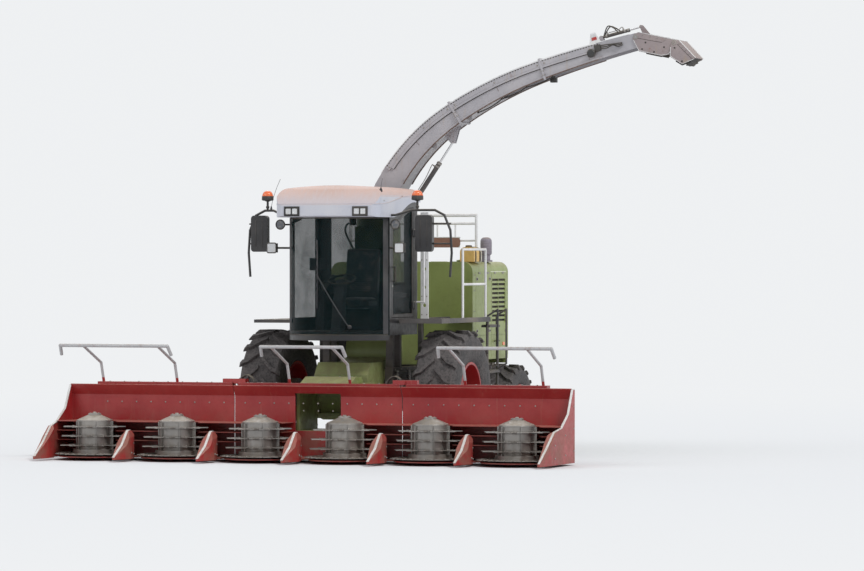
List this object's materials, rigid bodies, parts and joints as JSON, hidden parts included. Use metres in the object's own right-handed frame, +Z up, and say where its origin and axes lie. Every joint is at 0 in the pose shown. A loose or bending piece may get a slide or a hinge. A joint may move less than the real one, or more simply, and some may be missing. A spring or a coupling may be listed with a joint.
{
  "type": "self-propelled forage harvester",
  "caption": "Self-propelled forage harvester with glazed cab, swivelling discharge spout, red wheels and a wide folding rotary maize header.",
  "frame": {"origin": "on the ground under the middle of the machine's box, spout and header included", "axes": "+X to the machine's left, where the spout points at rest; -Y is the driving direction; +Z up"},
  "size_m": [8.5674, 7.4999, 6.1163],
  "materials": {
    "green_paint": "satin seed-green paint, dusty",
    "white_paint": "off-white paint with dust",
    "red_paint": "red paint, worn",
    "grey_paint": "light grey paint, worn by crop",
    "dark_paint": "dark grey paint, dusty",
    "tyre": "dusty black",
    "glass": "green-tinted glass",
    "black_plastic": "matt black",
    "lamp_plastic": "amber and clear lenses",
    "tank_plastic": "yellow plastic, dusty",
    "cast_iron": "rough casting",
    "steel": "bare worn steel",
    "chrome": "polished rods",
    "exhaust_steel": "heat-stained steel",
    "trim": "dark trim and cloth"
  },
  "bodies": {
    "machine": {"chassis_frame": "dark_paint", "front_axle": "cast_iron", "rear_axle": "dark_paint", "chopper_housing": "green_paint", "discharge_chute": "green_paint", "engine_block": "cast_iron", "side_panels": "green_paint", "fuel_tank": "black_plastic", "cab_frame": "black_plastic", "cab_roof": "white_paint", "cab_glass": "glass", "cab_interior": "trim", "platform_ladder": "dark_paint", "deck_railing": "white_paint", "mirrors": "black_plastic", "lamps": "lamp_plastic", "exhaust_stack": "exhaust_steel", "air_intake": "grey_paint", "additive_tank": "tank_plastic", "rear_hitch": "dark_paint"},
    "rear_hood": {"rear_hood": "green_paint"},
    "cooling_screen": {"cooling_screen": "black_plastic"},
    "cab_door": {"cab_door": "black_plastic", "door_glass": "glass"},
    "front_wheel_left": {"front_rim_left": "red_paint", "front_tyre_left": "tyre"},
    "front_wheel_right": {"front_rim_right": "red_paint", "front_tyre_right": "tyre"},
    "knuckle_left": {"knuckle_left": "cast_iron"},
    "knuckle_right": {"knuckle_right": "cast_iron"},
    "rear_wheel_left": {"rear_rim_left": "red_paint", "rear_tyre_left": "tyre"},
    "rear_wheel_right": {"rear_rim_right": "red_paint", "rear_tyre_right": "tyre"},
    "header": {"feeder_housing": "green_paint", "header_centre": "red_paint"},
    "lift_barrels": {"lift_barrels": "dark_paint"},
    "lift_rods": {"lift_rods": "chrome"},
    "header_wing_left": {"header_wing_left": "red_paint"},
    "header_wing_right": {"header_wing_right": "red_paint"},
    "spout_turret": {"spout_turret": "grey_paint"},
    "spout_tube": {"spout_tube": "grey_paint"},
    "spout_barrel": {"spout_barrel": "dark_paint"},
    "spout_rod": {"spout_rod": "chrome"},
    "spout_flap_1": {"spout_flap_1": "grey_paint"},
    "spout_flap_2": {"spout_flap_2": "grey_paint"},
    "flap_barrel": {"flap_barrel": "dark_paint"},
    "flap_rod": {"flap_rod": "chrome"},
    "rotor_1": {"rotor_1": "steel"},
    "rotor_2": {"rotor_2": "steel"},
    "rotor_3": {"rotor_3": "steel"},
    "rotor_4": {"rotor_4": "steel"},
    "rotor_5": {"rotor_5": "steel"},
    "rotor_6": {"rotor_6": "steel"}
  },
  "joints": [
    {"name": "front_wheel_left_spin", "type": "hinge", "parent": "machine", "child": "front_wheel_left", "pos_m": [0.79712, -0.45, 0.9], "axis": [1, 0, 0], "continuous": true},
    {"name": "front_wheel_right_spin", "type": "hinge", "parent": "machine", "child": "front_wheel_right", "pos_m": [-1.84288, -0.45, 0.9], "axis": [1, 0, 0], "continuous": true},
    {"name": "steer_left", "type": "hinge", "parent": "machine", "child": "knuckle_left", "pos_m": [0.37712, 2.45, 0.625], "axis": [0, 0, 1], "range_deg": [-28, 28]},
    {"name": "steer_right", "type": "hinge", "parent": "machine", "child": "knuckle_right", "pos_m": [-1.42287, 2.45, 0.625], "axis": [0, 0, 1], "range_deg": [-28, 28]},
    {"name": "rear_wheel_left_spin", "type": "hinge", "parent": "knuckle_left", "child": "rear_wheel_left", "pos_m": [0.62713, 2.45, 0.625], "axis": [1, 0, 0], "continuous": true},
    {"name": "rear_wheel_right_spin", "type": "hinge", "parent": "knuckle_right", "child": "rear_wheel_right", "pos_m": [-1.67287, 2.45, 0.625], "axis": [1, 0, 0], "continuous": true},
    {"name": "rear_hood_hinge", "type": "hinge", "parent": "machine", "child": "rear_hood", "pos_m": [-0.52287, 1.846, 2.786], "axis": [1, 0, 0], "range_deg": [0, 45]},
    {"name": "cooling_screen_spin", "type": "hinge", "parent": "machine", "child": "cooling_screen", "pos_m": [-1.64288, 1.53, 2.25], "axis": [1, 0, 0], "continuous": true},
    {"name": "cab_door_hinge", "type": "hinge", "parent": "machine", "child": "cab_door", "pos_m": [0.24313, -0.516, 2.5], "axis": [0, 0, 1], "range_deg": [0, 80]},
    {"name": "header_lift", "type": "hinge", "parent": "machine", "child": "header", "pos_m": [-0.52287, -1.3, 1], "axis": [-1, 0, 0], "range_deg": [0, 18]},
    {"name": "lift_barrels_pivot", "type": "hinge", "parent": "machine", "child": "lift_barrels", "pos_m": [-0.52287, -0.7, 0.7], "axis": [-1, 0, 0], "range_deg": [0, 11]},
    {"name": "lift_rods_slide", "type": "slide", "parent": "lift_barrels", "child": "lift_rods", "axis": [0, -0.9775, -0.2111], "range_m": [0, 0.12]},
    {"name": "wing_left_fold", "type": "hinge", "parent": "header", "child": "header_wing_left", "pos_m": [0.72713, -2.267, 1.1], "axis": [0, -1, 0], "range_deg": [0, 92]},
    {"name": "wing_right_fold", "type": "hinge", "parent": "header", "child": "header_wing_right", "pos_m": [-1.77287, -2.267, 1.1], "axis": [0, 1, 0], "range_deg": [0, 92]},
    {"name": "rotor_1_spin", "type": "hinge", "parent": "header_wing_right", "child": "rotor_1", "pos_m": [-3.64787, -2.95, 0.3], "axis": [0, 0, 1], "continuous": true},
    {"name": "rotor_2_spin", "type": "hinge", "parent": "header_wing_right", "child": "rotor_2", "pos_m": [-2.39787, -2.95, 0.3], "axis": [0, 0, 1], "continuous": true},
    {"name": "rotor_3_spin", "type": "hinge", "parent": "header", "child": "rotor_3", "pos_m": [-1.14787, -2.95, 0.3], "axis": [0, 0, 1], "continuous": true},
    {"name": "rotor_4_spin", "type": "hinge", "parent": "header", "child": "rotor_4", "pos_m": [0.10212, -2.95, 0.3], "axis": [0, 0, 1], "continuous": true},
    {"name": "rotor_5_spin", "type": "hinge", "parent": "header_wing_left", "child": "rotor_5", "pos_m": [1.35213, -2.95, 0.3], "axis": [0, 0, 1], "continuous": true},
    {"name": "rotor_6_spin", "type": "hinge", "parent": "header_wing_left", "child": "rotor_6", "pos_m": [2.60213, -2.95, 0.3], "axis": [0, 0, 1], "continuous": true},
    {"name": "spout_swivel", "type": "hinge", "parent": "machine", "child": "spout_turret", "pos_m": [-0.52287, 0.05, 3.5], "axis": [0, 0, 1], "range_deg": [-15, 195]},
    {"name": "spout_lift", "type": "hinge", "parent": "spout_turret", "child": "spout_tube", "pos_m": [-0.33287, 0.05, 3.8], "axis": [0, -1, 0], "range_deg": [-22, 4]},
    {"name": "spout_barrel_pivot", "type": "hinge", "parent": "spout_turret", "child": "spout_barrel", "pos_m": [-0.01287, 0.05, 3.555], "axis": [0, -1, 0], "range_deg": [-23.5, 4.5]},
    {"name": "spout_rod_slide", "type": "slide", "parent": "spout_barrel", "child": "spout_rod", "axis": [0.5667, 0, 0.8239], "range_m": [-0.155, 0.029]},
    {"name": "flap_1_tilt", "type": "hinge", "parent": "spout_tube", "child": "spout_flap_1", "pos_m": [3.4184, 0.05, 5.94238], "axis": [0, -1, 0], "range_deg": [-40, 18]},
    {"name": "flap_2_tilt", "type": "hinge", "parent": "spout_flap_1", "child": "spout_flap_2", "pos_m": [3.98707, 0.05, 5.85218], "axis": [0, -1, 0], "range_deg": [-33, 15]},
    {"name": "flap_barrel_pivot", "type": "hinge", "parent": "spout_tube", "child": "flap_barrel", "pos_m": [2.8584, 0.05, 5.94738], "axis": [0, -1, 0], "range_deg": [-6, 3]},
    {"name": "flap_rod_slide", "type": "slide", "parent": "flap_barrel", "child": "flap_rod", "axis": [0.9711, 0, 0.2387], "range_m": [-0.04, 0.088]}
  ],
  "couplings": [
    {"joint": "steer_right", "follows": "steer_left", "ratio": 1},
    {"joint": "lift_barrels_pivot", "follows": "header_lift", "ratio": 0.5848},
    {"joint": "lift_rods_slide", "follows": "header_lift", "m_per_rad": 0.37733},
    {"joint": "spout_barrel_pivot", "follows": "spout_lift", "ratio": 1.0419},
    {"joint": "spout_rod_slide", "follows": "spout_lift", "m_per_rad": 0.39918},
    {"joint": "flap_2_tilt", "follows": "flap_1_tilt", "ratio": 0.8},
    {"joint": "flap_barrel_pivot", "follows": "flap_1_tilt", "ratio": 0.1358},
    {"joint": "flap_rod_slide", "follows": "flap_1_tilt", "m_per_rad": -0.12383},
    {"joint": "rotor_1_spin", "follows": "rotor_4_spin", "ratio": -1},
    {"joint": "rotor_2_spin", "follows": "rotor_4_spin", "ratio": 1},
    {"joint": "rotor_3_spin", "follows": "rotor_4_spin", "ratio": -1},
    {"joint": "rotor_5_spin", "follows": "rotor_4_spin", "ratio": -1},
    {"joint": "rotor_6_spin", "follows": "rotor_4_spin", "ratio": 1}
  ]
}
